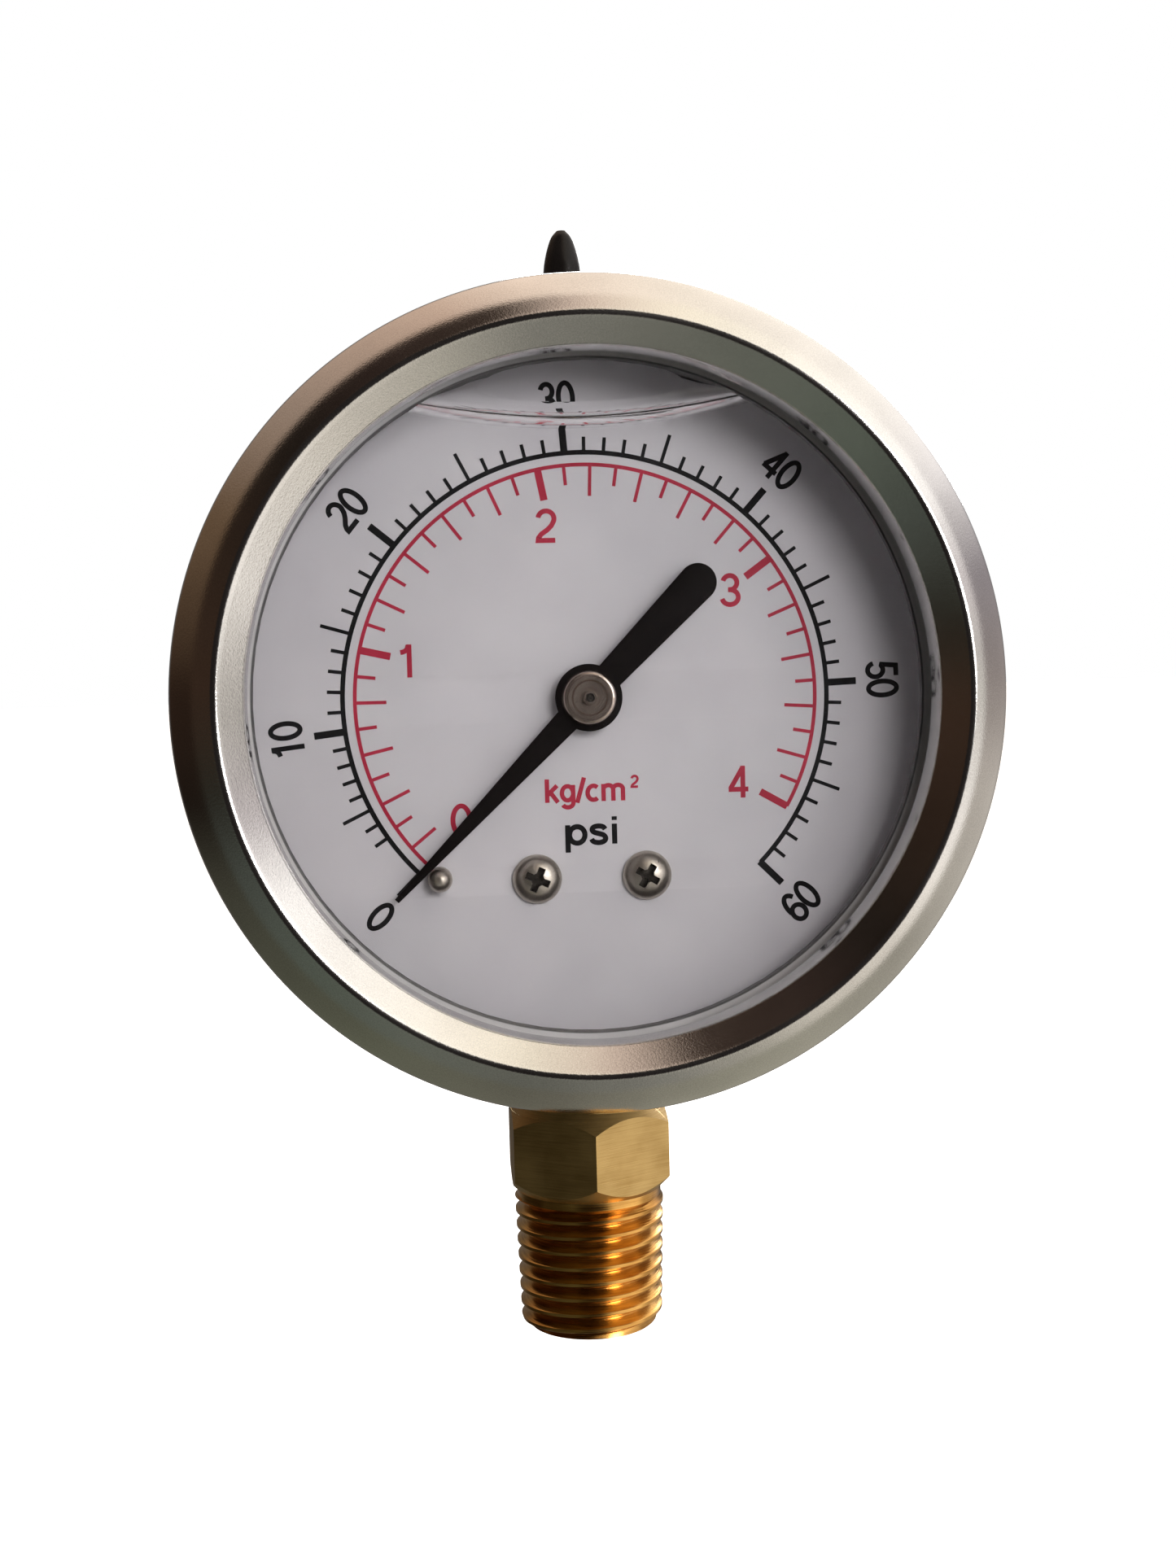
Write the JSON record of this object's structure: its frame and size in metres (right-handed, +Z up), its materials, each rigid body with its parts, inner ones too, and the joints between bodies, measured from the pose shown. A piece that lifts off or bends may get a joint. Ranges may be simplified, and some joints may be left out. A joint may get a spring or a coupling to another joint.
{
  "type": "pressure gauge",
  "caption": "Round liquid-filled Bourdon-tube pressure gauge with a crimped steel bezel, flat window, black pointer on a white dial, rubber filling plug and bottom brass pipe connection.",
  "frame": {"origin": "centre of the thread's end face, on the stem's axis", "axes": "+Z up along the stem towards the dial, the dial faces -Y, +X to the right of someone reading it"},
  "size_m": [0.068, 0.032, 0.0996],
  "materials": {
    "bezel_steel": "stainless steel, bright drawn with a fine speckle of pits",
    "case_steel": "stainless steel, satin",
    "window_glass": "clear flat glass",
    "gasket_rubber": "grey sealing ring, matte",
    "plug_rubber": "black rubber, slightly glossy",
    "seal_rubber": "black O-ring rubber",
    "socket_brass": "turned brass with fine tool lines",
    "movement_brass": "stamped brass, satin",
    "tube_bronze": "drawn phosphor bronze, dull",
    "plated_screws": "nickel-plated, bright",
    "pins_steel": "turned steel, bright",
    "spring_steel": "spring steel, blued grey",
    "dial_paint": "matt white paint on aluminium, printed scales",
    "pointer_paint": "matt black paint on aluminium"
  },
  "bodies": {
    "gauge_body": {"bezel": "bezel_steel", "case": "case_steel", "window": "window_glass", "window_gasket": "gasket_rubber", "filling_plug": "plug_rubber", "stem_seal": "seal_rubber", "socket": "socket_brass", "restrictor": "socket_brass", "stem_clip": "spring_steel", "dial": "dial_paint", "dial_screw_left": "plated_screws", "dial_screw_right": "plated_screws", "stop_pin": "plated_screws", "bourdon_tube": "tube_bronze", "movement_front_plate": "movement_brass", "movement_back_plate": "movement_brass", "pillar_left": "movement_brass", "pillar_top": "movement_brass", "pillar_low": "movement_brass", "plate_screw_left": "pins_steel", "plate_screw_top": "pins_steel", "plate_screw_low": "pins_steel", "movement_screw_left": "pins_steel", "movement_screw_right": "pins_steel", "hairspring_post": "pins_steel", "hairspring": "spring_steel"},
    "pointer_shaft": {"pinion_staff": "pins_steel", "hairspring_collet": "movement_brass", "pointer": "pointer_paint", "pointer_hub": "plated_screws"},
    "sector": {"sector": "movement_brass", "sector_arbor": "pins_steel", "tail_pin": "pins_steel"},
    "tube_end": {"tube_tip": "movement_brass", "tip_pin": "pins_steel"},
    "link": {"link": "movement_brass"}
  },
  "joints": [
    {"name": "pointer_turn", "type": "hinge", "parent": "gauge_body", "child": "pointer_shaft", "pos_m": [0, -0.005, 0.0575], "axis": [0, 1, 0], "range_deg": [0, 270], "stiffness_Nm_per_rad": 0.0004, "springref_deg": -17.19, "deforming": ["hairspring"]},
    {"name": "sector_turn", "type": "hinge", "parent": "gauge_body", "child": "sector", "pos_m": [0.01299, -0.0017, 0.05], "axis": [0, 1, 0], "range_deg": [-24.6, 0]},
    {"name": "tube_flex", "type": "hinge", "parent": "gauge_body", "child": "tube_end", "pos_m": [-0.00671, -0.001, 0.06415], "axis": [0, 1, 0], "range_deg": [-6.2, 0], "deforming": ["bourdon_tube"]},
    {"name": "link_swing", "type": "hinge", "parent": "tube_end", "child": "link", "pos_m": [0.0207, -0.00285, 0.0591], "axis": [0, 1, 0], "range_deg": [0, 8.3]}
  ],
  "couplings": [
    {"joint": "sector_turn", "follows": "pointer_turn", "ratio": -0.090909},
    {"joint": "tube_flex", "follows": "pointer_turn", "ratio": -0.022569},
    {"joint": "link_swing", "follows": "pointer_turn", "ratio": 0.030217}
  ]
}
